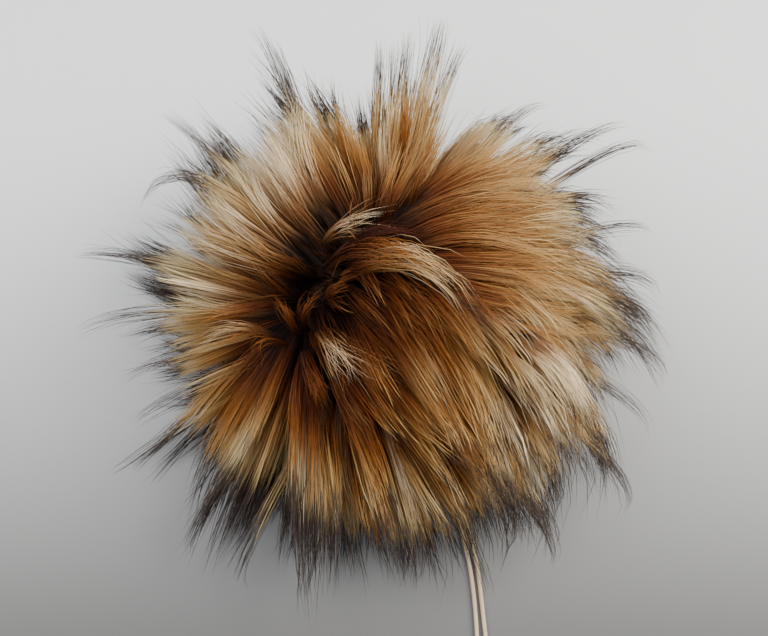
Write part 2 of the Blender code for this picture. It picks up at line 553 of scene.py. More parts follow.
@dataclass
class LockSet:
    """Locks as quadratic curves from a root by a middle point to a tip.

    Attributes:
        root: Root points, n by 3.
        middle: Middle control points, n by 3.
        tip: Tip points, n by 3.
        radius: Radius of each lock at its root, n.
        tone: Tone of each lock, n.
        reach: Share of the full length that each lock's strands reach, n.
        frizz: How frizzy each lock is, n.
        weight: Share of the strands that each lock takes, n.
        wool: Way along each lock's curve at which its wool ends, n.
        colours: Where on the root-to-tip colours each lock starts and ends, n by 2. A negative end
            leaves it to the layer.
        bright: Share of the layer's own colours that each lock shows, n.
    """

    root: np.ndarray
    middle: np.ndarray
    tip: np.ndarray
    radius: np.ndarray
    tone: np.ndarray
    reach: np.ndarray
    frizz: np.ndarray
    weight: np.ndarray
    wool: np.ndarray
    colours: np.ndarray
    bright: np.ndarray

    def line(self, lock: np.ndarray, along: np.ndarray) -> np.ndarray:
        """Places on the locks' curves: root (1-t)^2 + middle 2t(1-t) + tip t^2.

        Args:
            lock: Lock number of each strand, n.
            along: Way along the lock's curve of each point of a strand, n by m.

        Returns:
            Points, n by m by 3.
        """
        share = along[..., None]
        rest = 1.0 - share
        root, middle, tip = self.root[lock], self.middle[lock], self.tip[lock]
        return root[:, None] * rest**2 + middle[:, None] * (2.0 * rest * share) + tip[:, None] * share**2


@dataclass(frozen=True)
class StrandLayer:
    """One layer of the coat.

    Attributes:
        name: Piece's name.
        count: Number of strands.
        rings: Points along a strand, its tip included.
        width: Thickness at its widest.
        shortest: Shortest share of a lock's length that a strand reaches.
        longest: Longest share.
        widen: Width of a lock at 0, 0.3, 0.6, 0.85 and 1.05 of the way along, its root being 1.
        stray: Spread of the tips to the side.
        wave: Height of the waves along a strand.
        shape: How the thickness and the colours run.
        lightest: How far along the root-to-tip colours its wool gets. It is lower on the inner
        layers, as painted shade in the gaps between the locks.
        seed: Seed of its random numbers.
    """

    name: str
    count: int
    rings: int
    width: float
    shortest: float
    longest: float
    widen: tuple[float, float, float, float, float]
    stray: float
    wave: float
    shape: Shape
    lightest: float
    seed: int


# The inner layers stop lower on the root-to-tip colours, which paints shade into the gaps between the locks.
LAYERS = tuple(StrandLayer(*row) for row in (
    ("underfur", 6000, 4, 0.00034, 0.45, 0.72, (1.1, 1.7, 1.9, 1.8, 1.8),
     0.0018, 0.0003, Shape.WOOL, 0.46, 1),
    ("inner_pile", 5800, 5, 0.00024, 0.66, 0.88, (1.0, 1.6, 1.8, 1.6, 1.4),
     0.0014, 0.0003, Shape.WOOL, 0.55, 2),
    ("main_pile", 7900, 5, 0.00020, 0.74, 0.96, (1.0, 1.6, 1.8, 1.4, 1.1),
     0.0012, 0.0003, Shape.WOOL, 0.65, 3),
    ("outer_pile", 8000, 5, 0.00018, 0.80, 1.06, (0.9, 1.5, 1.5, 1.0, 0.8),
     0.0014, 0.0003, Shape.WOOL, 0.67, 4),
    ("guard_hairs", 6700, 5, 0.00022, 0.74, 1.00, (0.9, 1.4, 1.3, 0.9, 0.7),
     0.0018, 0.0002, Shape.GUARD, 0.66, 5),
    ("guard_wisps", 6000, 5, 0.00022, 0.86, 1.14, (0.6, 1.0, 0.9, 0.5, 0.3),
     0.0022, 0.0002, Shape.GUARD, 0.66, 7),
))


@dataclass(frozen=True)
class ColourWindow:
    """The part of the palette that a layer uses, which its map shows at full size.

    Attributes:
        tone_low: Lowest tone.
        tone_high: Highest tone.
        along_low: Lowest place on the root-to-tip colours.
        along_high: Highest place.
    """

    tone_low: float
    tone_high: float
    along_low: float
    along_high: float

    def shares(self, tones: np.ndarray, colours: np.ndarray) -> tuple[np.ndarray, np.ndarray]:
        """Places in the window, from 0 at its low side to 1 at its high side.

        Args:
            tones: Tone of each strand.
            colours: Where on the root-to-tip colours each point lies.

        Returns:
            The shares across and along.
        """
        across = (tones - self.tone_low) / (self.tone_high - self.tone_low)
        return across, (colours - self.along_low) / (self.along_high - self.along_low)


WOOL_ENDS = (
    (0.0, 69.0), (20.0, 66.0), (45.0, 65.0), (60.0, 66.0), (80.0, 70.0), (93.0, 63.0), (104.0, 58.0),
    (111.0, 63.0), (118.0, 69.0), (125.0, 66.0), (132.0, 64.0), (145.0, 66.0), (155.0, 68.0),
    (165.0, 69.0), (180.0, 66.5), (195.0, 67.5), (215.0, 67.0), (235.0, 62.0), (243.0, 56.0),
    (252.0, 61.0), (270.0, 65.0), (285.0, 63.0), (294.0, 59.0), (302.0, 63.0), (310.0, 68.0),
    (325.0, 71.0), (340.0, 70.0),
)


@dataclass
class FurCoat:
    """The pile: tufts of locks spread over the ball, each lock with its strands in several layers."""

    flow: PileFlow = field(default_factory=PileFlow)
    surface: Surface = field(default_factory=Surface)
    tufts: int = 320
    locks: int = 1500
    lowest_root: float = 0.0035
    root_spread: float = 0.0021
    lock_jitter: float = 0.030
    tuft_jitter: float = 0.05
    tuft_height_limits: Pair = (-2.0, 1.5)
    tuft_pull: Pair = (0.40, 0.85)
    tuft_reach_jitter: float = 0.05
    # Shorter tufts take a lower, darker tone and taller ones a lighter one: painted shade for the depth of
    # the coat.
    tuft_height_shade: float = 0.10
    tuft_tone_jitter: float = 0.10
    tuft_stray: float = 0.0030
    lock_stray: float = 0.0016
    lock_reach_jitter: float = 0.05
    lock_tone_jitter: float = 0.05
    lock_sizes: Pair = (0.8, 1.2)
    lock_frizz: Pair = (0.7, 1.3)
    lock_reach_limits: Pair = (0.8, 1.08)
    middle_pull: float = 0.25
    middle_shift: float = 0.45
    middle_stray: float = 0.0010
    seen_shares: Triple = (0.09, 0.42, 0.49)
    plain_tone: float = 0.36
    tone_limits: Pair = (0.02, 0.98)
    parting_half_width: float = math.radians(10.0)
    parting_stray: float = 0.007
    parting_shorter: Pair = (0.10, 0.65)
    parting_frizz: float = 0.8
    parting_loose: float = 0.8
    strand_tone_jitter: float = 0.022
    dome_guards: float = 0.24
    guard_rim: Pair = (0.52, 0.90)
    least_crowd: float = 0.02
    crowd_width: float = math.radians(12.0)
    wool_reach: float = 0.0700
    wool_jitter: float = 0.05
    wool_limits: Pair = (0.35, 0.9)
    least_extent: float = 0.01
    strand_tone_limits: Pair = (0.01, 0.99)
    strand_ends: Pair = (0.92, 1.0)
    least_tip: float = 0.05
    guard_bias: float = 1.7
    wave_cycles: Pair = (3.0, 8.0)
    loose_share: float = 0.05
    loose_stray: float = 2.5
    lock_roundness: float = 0.9
    calm_middle: Pair = (0.80, 0.22)
    calm_radius: float = 0.50
    calm_loose: float = 0.7
    calm_tone: float = 0.6
    front_bright: float = 0.70
    bright_rim: Pair = (0.40, 0.82)
    seed: int = 40
    routes: list[np.ndarray] = field(default_factory=list)

    def __post_init__(self) -> None:
        """Works out the locks."""
        rng = np.random.default_rng(self.seed)
        roots = self.scattered(self.locks, self.lock_jitter, rng)
        roots = roots[BALL_CENTRE[2] + roots[:, 2] * BALL_RADIUS > self.lowest_root]
        self.lock_set = self.grow_locks(roots, rng)

    @staticmethod
    def scattered(count: int, jitter: float, rng: np.random.Generator) -> np.ndarray:
        """Directions spread evenly over the whole sphere on a golden spiral, then moved a little.

        Args:
            count: Number of directions.
            jitter: How far each is moved.
            rng: Source of the moves.

        Returns:
            Unit vectors, n by 3.
        """
        number = np.arange(count) + 0.5
        height = 1.0 - 2.0 * number / count
        turn = number * math.pi * (3.0 - math.sqrt(5.0))
        ring = np.sqrt(1.0 - height * height)
        spiral = np.stack([ring * np.cos(turn), ring * np.sin(turn), height], axis=1)
        return unit(spiral + rng.normal(0.0, jitter, spiral.shape))

    def grow_locks(self, roots: np.ndarray, rng: np.random.Generator) -> LockSet:
        """Grows a lock from each root and draws it to its tuft.

        Args:
            roots: Root directions, n by 3.
            rng: Source of their variation.

        Returns:
            The locks.
        """
        count = len(roots)
        tuft_roots = self.scattered(self.tufts, self.tuft_jitter, rng)
        tuft = np.argmax(roots @ tuft_roots.T, axis=1)
        tuft_height = rng.normal(0.0, 1.0, self.tufts).clip(*self.tuft_height_limits)
        tuft_reach = 1.0 + self.tuft_reach_jitter * tuft_height
        reach = rng.normal(1.0, self.lock_reach_jitter, count).clip(*self.lock_reach_limits)
        reach *= tuft_reach[tuft]
        away = self.flow.parting_angles(roots)
        near = np.exp(-((away / self.parting_half_width) ** 2))
        reach *= 1.0 - near * rng.uniform(*self.parting_shorter, count)
        root, middle, tip, tip_directions = self.flow.control_points(roots, np.ones(count))
        _, tuft_middle, tuft_tip, _ = self.flow.control_points(tuft_roots, np.ones(self.tufts))
        face = to_face(tip_directions)
        calm = np.exp(-np.sum((face[:, :2] - self.calm_middle) ** 2, axis=1) / self.calm_radius**2)
        pull = rng.uniform(*self.tuft_pull, self.tufts)[tuft]
        pull = pull * (1.0 - self.parting_loose * near) * (1.0 - self.calm_loose * calm)
        tip += (tuft_tip[tuft] - tip) * pull[:, None]
        middle += (tuft_middle[tuft] - middle) * pull[:, None] * self.middle_pull
        shift = rng.normal(0.0, 1.0, (self.tufts, 3))[tuft] * self.tuft_stray
        shift += rng.normal(0.0, 1.0, (count, 3)) * (self.lock_stray + self.parting_stray * near)[:, None]
        shift -= tip_directions * np.sum(shift * tip_directions, axis=1, keepdims=True)
        tip += shift
        middle += shift * self.middle_shift + rng.normal(0.0, self.middle_stray, (count, 3))
        near_root, half_way, near_tip = self.seen_shares
        seen = root * near_root + middle * half_way + tip * near_tip - BALL_CENTRE
        seen = to_face(seen) / MILLIMETRE
        tone = self.patched(np.full(count, self.plain_tone), SHADES, seen)
        # Each tuft's tone: painted shade by its height, plus a random shift of its own.
        tuft_tone = tuft_height * self.tuft_height_shade + rng.normal(0.0, self.tuft_tone_jitter, self.tufts)
        tone += tuft_tone[tuft] * (1.0 - self.calm_tone * calm)
        tone += rng.normal(0.0, self.lock_tone_jitter, count)
        radius = np.full(count, self.root_spread) * rng.uniform(*self.lock_sizes, count)
        frizz = rng.uniform(*self.lock_frizz, count) + self.parting_frizz * near
        extent = np.linalg.norm(tip - BALL_CENTRE, axis=1) - BALL_RADIUS
        degrees, reaches = np.array(WOOL_ENDS).T
        angle = np.degrees(np.arctan2(face[:, 1], face[:, 0]))
        rim_reach = np.interp(angle, degrees, reaches * MILLIMETRE, period=360.0)
        rim_reach = (rim_reach - self.wool_reach) * np.hypot(face[:, 0], face[:, 1])
        wool = (self.wool_reach + rim_reach - BALL_RADIUS) / np.maximum(extent, self.least_extent)
        wool = (wool * rng.normal(1.0, self.wool_jitter, count)).clip(*self.wool_limits)
        colours = np.tile([0.0, -1.0], (count, 1))
        rim = smooth_step(*self.bright_rim, np.hypot(face[:, 0], face[:, 1]))
        bright = self.front_bright + (1.0 - self.front_bright) * rim
        # Darker patches: partly painted shade on the lower side of the coat.
        bright = self.patched(bright, DARKER_AND_SHADED_PATCHES, seen)
        tone = tone.clip(*self.tone_limits)
        weight = np.ones(count)
        return LockSet(root, middle, tip, radius, tone, reach, frizz, weight, wool, colours, bright)

    @staticmethod
    def patched(values: np.ndarray, table: tuple[Shade, ...], seen: np.ndarray) -> np.ndarray:
        """Pulls the locks' values towards each patch's own, by a bell curve of the way from it.

        Args:
            values: Values, n.
            table: The patches.
            seen: Where each lock is seen on the face, in millimetres.

        Returns:
            The pulled values, n.
        """
        for patch in table:
            away = np.hypot(seen[:, 0] - patch.across, seen[:, 1] - patch.up) / patch.radius
            values = values + (patch.tone - values) * patch.weight * np.exp(-away * away)
        return values

    def strand_points(
        self, layer: StrandLayer, locks: LockSet, rng: np.random.Generator
    ) -> tuple[np.ndarray, np.ndarray, np.ndarray, np.ndarray]:
        """Middle lines of a layer's strands.

        A strand follows its lock's curve beside the middle line, by its root's offset times the
        lock's width there. A bend that grows with the square of the way along and a sine wave are
        added to the side.

        Args:
            layer: Layer of the coat.
            locks: The locks that it grows in.
            rng: Source of its variation.

        Returns:
            Points, n by rings by 3, the outward direction at each, where each lies on the
            root-to-tip colours, n by rings, and each strand's lock number.
        """
        chance = locks.weight * np.linalg.norm(locks.tip - locks.root, axis=1)
        if layer.shape is Shape.GUARD:
            chance *= self.guard_share(locks)
        chance /= chance.sum()
        lock = rng.choice(len(locks.root), layer.count, p=chance)
        share = np.linspace(0.0, 1.0, layer.rings) ** RING_EASE
        length = rng.uniform(0.0, 1.0, layer.count)
        if layer.shape is Shape.GUARD:
            length **= self.guard_bias
        length = (layer.shortest + (layer.longest - layer.shortest) * length) * locks.reach[lock]
        if layer.shape is Shape.WOOL:
            length *= locks.wool[lock]
        along = share[None, :] * length[:, None]
        line = locks.line(lock, along)
        heading = unit(locks.tip[lock] - locks.root[lock])
        offset = unit(rng.normal(0.0, 1.0, (layer.count, 3)))
        offset *= rng.uniform(0.0, 1.0, (layer.count, 1)) ** 0.5 * locks.radius[lock][:, None]
        offset -= heading * np.sum(offset * heading, axis=1, keepdims=True)
        widen = np.interp(along, LOCK_STATIONS, layer.widen)[..., None]
        points = line + offset[:, None] * widen
        side = unit(np.cross(heading, rng.normal(0.0, 1.0, heading.shape)))
        other = np.cross(heading, side)
        frizz = locks.frizz[lock][:, None, None]
        stray = np.abs(rng.normal(0.0, layer.stray, (layer.count, 1, 1))) * frizz
        loose = rng.uniform(size=(layer.count, 1, 1)) < self.loose_share
        stray *= np.where(loose, self.loose_stray, 1.0)
        points += side[:, None, :] * stray * along[..., None] ** 2
        phase = rng.uniform(0.0, FULL_TURN, (layer.count, 1, 1))
        cycles = rng.uniform(*self.wave_cycles, (layer.count, 1, 1))
        waves = np.sin(along[..., None] * cycles + phase) - np.sin(phase)
        points += other[:, None, :] * layer.wave * frizz * waves * share[None, :, None]
        round_lock = (points - line) / (locks.radius[lock][:, None, None] * widen)
        outward = unit(points - BALL_CENTRE) + self.lock_roundness * round_lock
        start, end = locks.colours[lock].T
        ends = rng.uniform(*self.strand_ends, layer.count)[:, None]
        wool = locks.wool[lock][:, None]
        lightest = layer.lightest * locks.bright[lock][:, None]
        own = lightest * np.minimum(along / wool, 1.0) * ends
        if layer.shape is Shape.GUARD:
            beyond = (along - wool) / np.maximum(length[:, None] - wool, self.least_tip)
            own = np.where(along > wool, lightest + (1.0 - lightest) * beyond, own)
        given = start[:, None] + (end - start)[:, None] * share * ends
        colours = np.where(end[:, None] < 0.0, own, given)
        return self.surface.levelled(points, self.routes), outward, colours, lock

    def guard_share(self, locks: LockSet) -> np.ndarray:
        """Share of the guard hairs for each lock: few on the dome, and alike all round the rim.

        Round the rim a lock's share is one over how crowded its direction is, which is the sum over
        all locks of a bell curve of the angle between them times how near each is to the rim.

        Args:
            locks: The locks.

        Returns:
            Shares, n.
        """
        tips = to_face(unit(locks.tip - BALL_CENTRE))
        rim = smooth_step(*self.guard_rim, np.hypot(tips[:, 0], tips[:, 1]))
        angle = np.arctan2(tips[:, 1], tips[:, 0])
        apart = np.angle(np.exp(1j * (angle[:, None] - angle[None, :])))
        crowd = np.exp(-((apart / self.crowd_width) ** 2)) @ (rim + self.least_crowd)
        return (self.dome_guards + (1.0 - self.dome_guards) * rim) / (crowd / crowd.mean())

    def build_layer(
        self, layer: StrandLayer, locks: LockSet, palette: bpy.types.ShaderNodeTree
    ) -> bpy.types.Object:
        """Makes one layer as a joined mesh of closed three-sided strands.

        Args:
            layer: Layer of the coat.
            locks: The locks that it grows in.
            palette: Shared group with the pile's colours.

        Returns:
            The piece.
        """
        rng = np.random.default_rng(layer.seed)
        points, outward, colours, lock = self.strand_points(layer, locks, rng)
        tones = locks.tone[lock] + rng.normal(0.0, self.strand_tone_jitter, layer.count)
        tones, colours = tones.clip(*self.strand_tone_limits), colours.clip(0.0, 1.0)
        window = ColourWindow(tones.min(), tones.max(), colours.min(), colours.max())
        obj = strand_mesh(layer, points, outward, *window.shares(tones, colours), rng)
        place(obj, PileFinish(layer.name, window).make(palette), "fur", "fur")
        LOG.info("%s: %d strands in %d locks", layer.name, layer.count, len(locks.root))
        return obj


@dataclass(frozen=True)
class FeatureLock:
    """A lock that stands out from the pile, in face coordinates from the ball's centre.

    Attributes:
        root: Root in millimetres: across, up and out.
        middle: Place it passes half-way.
        tip: Tip.
        radius: Radius at its root in millimetres.
        strands: Share of the strands.
        tone: Tone, from 0, deep rust, to 1, cream.
        colours: Where on the root-to-tip colours it starts and ends.
        frizz: How frizzy it is.
    """

    root: Triple
    middle: Triple
    tip: Triple
    radius: float
    strands: float
    tone: float
    colours: Pair
    frizz: float


PLACE_STRAYS = np.array([0.5, 1.0, 1.5])


@dataclass(frozen=True)
class Fan:
    """Locks laid side by side between guide locks, each a little different.

    Attributes:
        guides: Root, half-way place and tip of each guide in millimetres, in face coordinates.
        count: Number of locks.
        radius: Radius of each at its root in millimetres.
        strands: Share of the strands of each.
        tones: Lowest and highest tone.
        colours: Where on the root-to-tip colours each starts and ends.
        frizz: How frizzy they are.
        stray: Stray of the places in millimetres.
        seed: Seed of the strays.
    """

    guides: tuple[tuple[Triple, ...], ...]
    count: int
    radius: float
    strands: float
    tones: Pair
    colours: Pair
    frizz: float
    stray: float
    seed: int

    def locks(self) -> tuple[FeatureLock, ...]:
        """Spreads the locks evenly over the guides, then strays each place at random.

        The root strays half as far as the half-way place, and the tip half as far again.

        Args:
            None.

        Returns:
            The locks.
        """
        rng = np.random.default_rng(self.seed)
        guides = np.array(self.guides)
        place = np.linspace(0.0, len(guides) - 1.0, self.count)
        low = np.minimum(place.astype(int), len(guides) - 2)
        share = (place - low)[:, None, None]
        places = guides[low] * (1.0 - share) + guides[low + 1] * share
        places += rng.normal(0.0, self.stray, places.shape) * PLACE_STRAYS[:, None]
        tones = rng.permutation(np.linspace(*self.tones, self.count))
        return tuple(
            FeatureLock(*map(tuple, row), self.radius, self.strands, tone, self.colours, self.frizz)
            for row, tone in zip(places.tolist(), tones.tolist())
        )


FANS = (
    Fan(
        (
            ((4, 28, 34), (26, 43, 36), (46, 51, 22)),
            ((2, 20, 38), (30, 33, 44), (59, 36, 27)),
            ((2, 16, 40), (32, 21, 48), (61, 18, 32)),
            ((6, 12, 42), (34, 9, 50), (64, 2, 34)),
            ((8, 6, 44), (38, -3, 51), (65, -13, 34)),
        ),
        16, 3.4, 0.26, (0.32, 0.52), (0.00, 0.56), 1.2, 1.6, 3,
    ),
    Fan(
        (
            ((14, 36, 32), (34, 44, 26), (46, 47, 10)),
            ((18, 30, 36), (45, 36, 28), (58, 36, 10)),
            ((20, 18, 42), (49, 19, 34), (64, 16, 13)),
            ((22, 6, 42), (52, 3, 36), (65, -5, 15)),
            ((24, -2, 42), (53, -12, 36), (63, -22, 15)),
        ),
        18, 3.2, 0.17, (0.30, 0.52), (0.08, 0.75), 1.4, 2.2, 4,
    ),
    Fan(
        (
            ((-4, 6, 40), (16, 1, 51), (42, -15, 48)),
            ((-6, 0, 40), (10, -11, 51), (31, -33, 46)),
            ((-8, -5, 39), (3, -19, 49), (17, -42, 43)),
        ),
        12, 3.4, 0.15, (0.12, 0.32), (0.04, 0.47), 1.4, 1.6, 5,
    ),
    Fan(
        (
            ((-12, 28, 22), (-20, 46, 22), (-25, 68, 8)),
            ((-20, 24, 24), (-30, 42, 24), (-37, 56, 12)),
            ((-24, 16, 26), (-41, 28, 26), (-52, 38, 15)),
            ((-27, 8, 27), (-47, 16, 26), (-62, 21, 15)),
        ),
        12, 2.6, 0.07, (0.80, 1.00), (0.04, 0.70), 1.6, 2.0, 6,
    ),
    Fan(
        (
            ((1, 27, 33), (7, 42, 33), (12, 62, 18)),
            ((8, 29, 33), (18, 43, 32), (27, 56, 15)),
        ),
        6, 3.0, 0.17, (0.36, 0.52), (0.05, 0.62), 1.2, 1.6, 7,
    ),
    Fan(
        (
            ((22, 34, 36), (41, 45, 28), (58, 54, 10)),
            ((28, 26, 40), (50, 30, 32), (70, 32, 14)),
            ((32, 12, 43), (56, 9, 35), (77, 4, 18)),
            ((32, -2, 44), (55, -11, 37), (73, -23, 20)),
        ),
        16, 5.0, 0.065, (0.30, 0.60), (0.40, 0.98), 1.8, 3.0, 8,
    ),
)
FEATURES = tuple(FeatureLock(*row) for row in (
    ((-16, 20, 34), (-8, 26, 44), (6, 29, 43), 1.8, 0.24, 0.74, (0.06, 0.64), 2.6),
    ((-12, 13, 36), (-1, 23, 50), (15, 22, 51), 1.5, 0.45, 0.02, (0.04, 0.24), 1.2),
    ((-16, 12, 34), (2, 19, 49), (24, 5, 50), 3.6, 0.32, 0.19, (0.06, 0.56), 2.6),
    ((-8, 14, 38), (8, 19, 51), (22, 9, 51), 2.2, 0.13, 0.80, (0.06, 0.62), 2.4),
    ((-8, 10, 38), (12, 13, 52), (27, -2, 51), 3.0, 0.13, 0.72, (0.06, 0.62), 2.2),
    ((-10, 10, 38), (18, 12, 53), (40, -20, 49), 6.0, 0.17, 0.36, (0.20, 0.98), 2.4),
    ((-16, -5, 38), (-11, -11, 50), (-3, -23, 48), 3.8, 0.50, 0.74, (0.06, 0.63), 3.8),
    ((-14, -7, 38), (-4, -13, 50), (10, -24, 49), 3.4, 0.16, 0.66, (0.06, 0.60), 4.2),
    ((-22, -13, 35), (-24, -27, 45), (-23, -41, 39), 1.3, 0.24, 0.16, (0.10, 0.47), 1.2),
    ((-22, -8, 36), (-25, -2, 47), (-29, 4, 45), 1.6, 0.4, 0.14, (0.06, 0.42), 1.4),
    ((-20, -6, 36), (-21, 0, 48), (-17, 5, 46), 1.6, 0.4, 0.14, (0.06, 0.42), 1.4),
    ((-15, 2, 36), (-12, 6, 48), (-7, 8, 46), 1.5, 0.35, 0.16, (0.06, 0.44), 1.4),
    ((-26, -10, 34), (-33, -9, 44), (-36, -13, 41), 2.2, 0.4, 0.18, (0.14, 0.46), 1.6),
    ((-21, -12, 36), (-18, -20, 47), (-14, -29, 45), 2.4, 0.6, 0.12, (0.14, 0.42), 1.6),
    # These three cream locks on the lower right of the dome are partly cream fibres and partly a painted
    # highlight.
    ((39, -7, 48), (50, -16, 52), (59, -30, 46), 1.7, 0.30, 0.88, (0.04, 0.68), 1.6),
    ((43, -5, 47), (54, -15, 51), (65, -31, 42), 1.9, 0.60, 0.97, (0.02, 0.68), 1.6),
    ((33, -9, 49), (45, -18, 53), (56, -34, 46), 1.6, 0.16, 0.80, (0.12, 0.66), 1.4),
    ((38, -3, 46), (55, -12, 49), (71, -34, 36), 2.4, 0.12, 0.20, (0.30, 1.00), 1.2),
    ((-13, -22, 35), (-17, -44, 34), (-15, -63, 22), 2.6, 0.22, 0.72, (0.04, 0.54), 1.2),
    ((-10, -24, 35), (-10, -46, 34), (-6, -62, 24), 2.0, 0.14, 0.66, (0.04, 0.52), 1.2),
    ((1, -26, 36), (8, -48, 35), (15, -68, 22), 1.8, 0.24, 0.96, (0.02, 0.66), 1.2),
    ((-30, -8, 34), (-42, -5, 36), (-54, -9, 28), 2.6, 0.28, 0.62, (0.10, 0.66), 1.4),
)) + sum((fan.locks() for fan in FANS), ())
WISPS = tuple(FeatureLock(*row) for row in (
    ((-15, 35, 3), (-30, 74, 0), (-39, 94, -6), 2.6, 1.5, 0.60, (0.34, 1.18), 0.8),
    ((-14, 35, 4), (-26, 70, 2), (-34, 89, -4), 2.4, 0.8, 0.60, (0.34, 1.18), 0.8),
    ((-38, 8, 7), (-76, 17, 8), (-97, 18, 4), 2.4, 1.3, 0.50, (0.34, 1.18), 1.0),
    ((-38, 1, 7), (-76, 0, 6), (-97, -7, 2), 2.4, 1.3, 0.50, (0.34, 1.18), 1.0),
    ((-27, 21, 17), (-56, 41, 28), (-73, 31, 24), 2.4, 1.6, 0.40, (0.34, 1.18), 0.8),
    ((-28, 27, 8), (-54, 53, 8), (-69, 65, 2), 2.4, 1.0, 0.50, (0.34, 1.18), 1.0),
    ((-35, -19, 4), (-69, -42, 6), (-84, -52, 8), 2.4, 0.9, 0.40, (0.34, 1.18), 1.0),
    ((-29, -29, 7), (-53, -61, 9), (-60, -77, 8), 2.4, 1.2, 0.40, (0.34, 1.18), 1.0),
    ((-21, -38, 8), (-39, -72, 11), (-44, -86, 10), 2.4, 1.0, 0.40, (0.34, 1.18), 1.0),
    ((-10, -41, 10), (-19, -76, 12), (-23, -91, 11), 2.4, 1.0, 0.50, (0.34, 1.18), 1.0),
    ((17, -41, 10), (31, -75, 12), (36, -90, 11), 2.4, 1.0, 0.40, (0.34, 1.18), 1.0),
    ((25, -29, 20), (50, -62, 22), (56, -80, 14), 3.0, 1.5, 0.40, (0.34, 1.18), 1.0),
    ((41, -20, 15), (73, -47, 17), (78, -64, 12), 2.6, 1.3, 0.50, (0.34, 1.18), 1.0),
    ((42, -1, 11), (80, -9, 12), (93, -22, 8), 2.6, 1.3, 0.50, (0.34, 1.18), 1.0),
    ((41, 6, 11), (76, 4, 12), (88, -6, 8), 2.6, 1.1, 0.50, (0.34, 1.18), 1.0),
    ((34, 24, 7), (70, 49, 5), (89, 53, 0), 2.4, 1.3, 0.50, (0.46, 1.20), 0.9),
    ((31, 27, 4), (63, 53, 1), (84, 61, -4), 2.2, 0.8, 0.50, (0.46, 1.20), 1.0),
    ((8, 35, 6), (17, 74, 2), (22, 96, -4), 4.0, 2.6, 0.44, (0.14, 1.06), 0.9),
    ((10, 35, 6), (22, 70, 2), (29, 88, -4), 3.4, 2.2, 0.44, (0.14, 1.06), 0.9),
    ((4, 36, 6), (9, 74, 2), (11, 93, -4), 2.8, 1.6, 0.40, (0.18, 1.12), 0.9),
    ((-1, 38, 4), (1, 72, 0), (1, 89, -4), 2.6, 1.3, 0.40, (0.18, 1.12), 1.0),
    ((2, 36, 6), (5, 72, 2), (6, 91, -5), 2.6, 1.3, 0.40, (0.18, 1.12), 1.0),
    ((20, 32, 6), (41, 59, 5), (56, 68, 0), 3.0, 1.3, 0.50, (0.18, 1.12), 1.0),
    ((28, 29, 6), (56, 52, 5), (74, 57, 0), 3.0, 1.3, 0.50, (0.18, 1.12), 1.0),
    ((41, 17, 8), (75, 27, 9), (90, 24, 5), 3.0, 1.3, 0.50, (0.34, 1.18), 1.0),
    ((42, 10, 10), (78, 13, 10), (91, 5, 6), 3.0, 1.3, 0.50, (0.34, 1.18), 1.0),
    ((-35, -6, 8), (-65, -15, 8), (-81, -22, 6), 2.8, 1.3, 0.40, (0.34, 1.18), 1.0),
    ((-34, -14, 8), (-63, -27, 8), (-78, -37, 6), 2.8, 1.3, 0.40, (0.34, 1.18), 1.0),
    ((41, -9, 12), (75, -24, 13), (88, -39, 9), 2.8, 1.3, 0.40, (0.34, 1.18), 1.0),
))
FEATURE_LAYER, WISP_LAYER = (StrandLayer(*row) for row in (
    ("feature_locks", 3650, 6, 0.00019, 0.62, 1.08, (0.7, 1.1, 1.1, 0.8, 0.6), 0.0018, 0.0005, Shape.WOOL,
     0.67, 6),
    ("tip_wisps", 900, 6, 0.00017, 0.66, 1.04, (0.9, 1.1, 1.0, 0.8, 0.6),
     0.0020, 0.0003, Shape.WOOL, 0.67, 8),
))


def placed_locks(table: tuple[FeatureLock, ...]) -> LockSet:
    """Turns a table of locks into a set.

    The middle control point is twice the half-way place less the mean of root and tip, so that the
    curve passes through that place.

    Args:
        table: The locks, in face coordinates.

    Returns:
        The locks.
    """
    places = np.array([[lock.root, lock.middle, lock.tip] for lock in table]) * MILLIMETRE
    root, half_way, tip = np.moveaxis(places @ FACE_AXES + BALL_CENTRE, 1, 0)
    numbers = np.array([[lock.radius * MILLIMETRE, lock.tone, lock.frizz, lock.strands] for lock in table])
    radius, tone, frizz, weight = numbers.T
    colours = np.array([lock.colours for lock in table])
    middle = 2.0 * half_way - (root + tip) / 2.0
    full = np.ones(len(root))
    return LockSet(root, middle, tip, radius, tone, full, frizz, weight, full, colours, full)


PROFILES = {
    Shape.WOOL: ((0.0, 0.45, 0.8, 1.0), (0.9, 1.0, 0.62, 0.1)),
    Shape.GUARD: ((0.0, 0.45, 0.75, 1.0), (0.7, 1.0, 0.95, 0.1)),
}
THICKNESS_SPREAD = (0.75, 1.25)
SPOKE_SHADING = 0.55
TIP_LEAN = 0.3
SIDE_WIDTH = 0.005
CAP_LEVELS = (0.004, 0.010)
MAP_FLOOR = 0.01
MAP_RANGE = 0.98


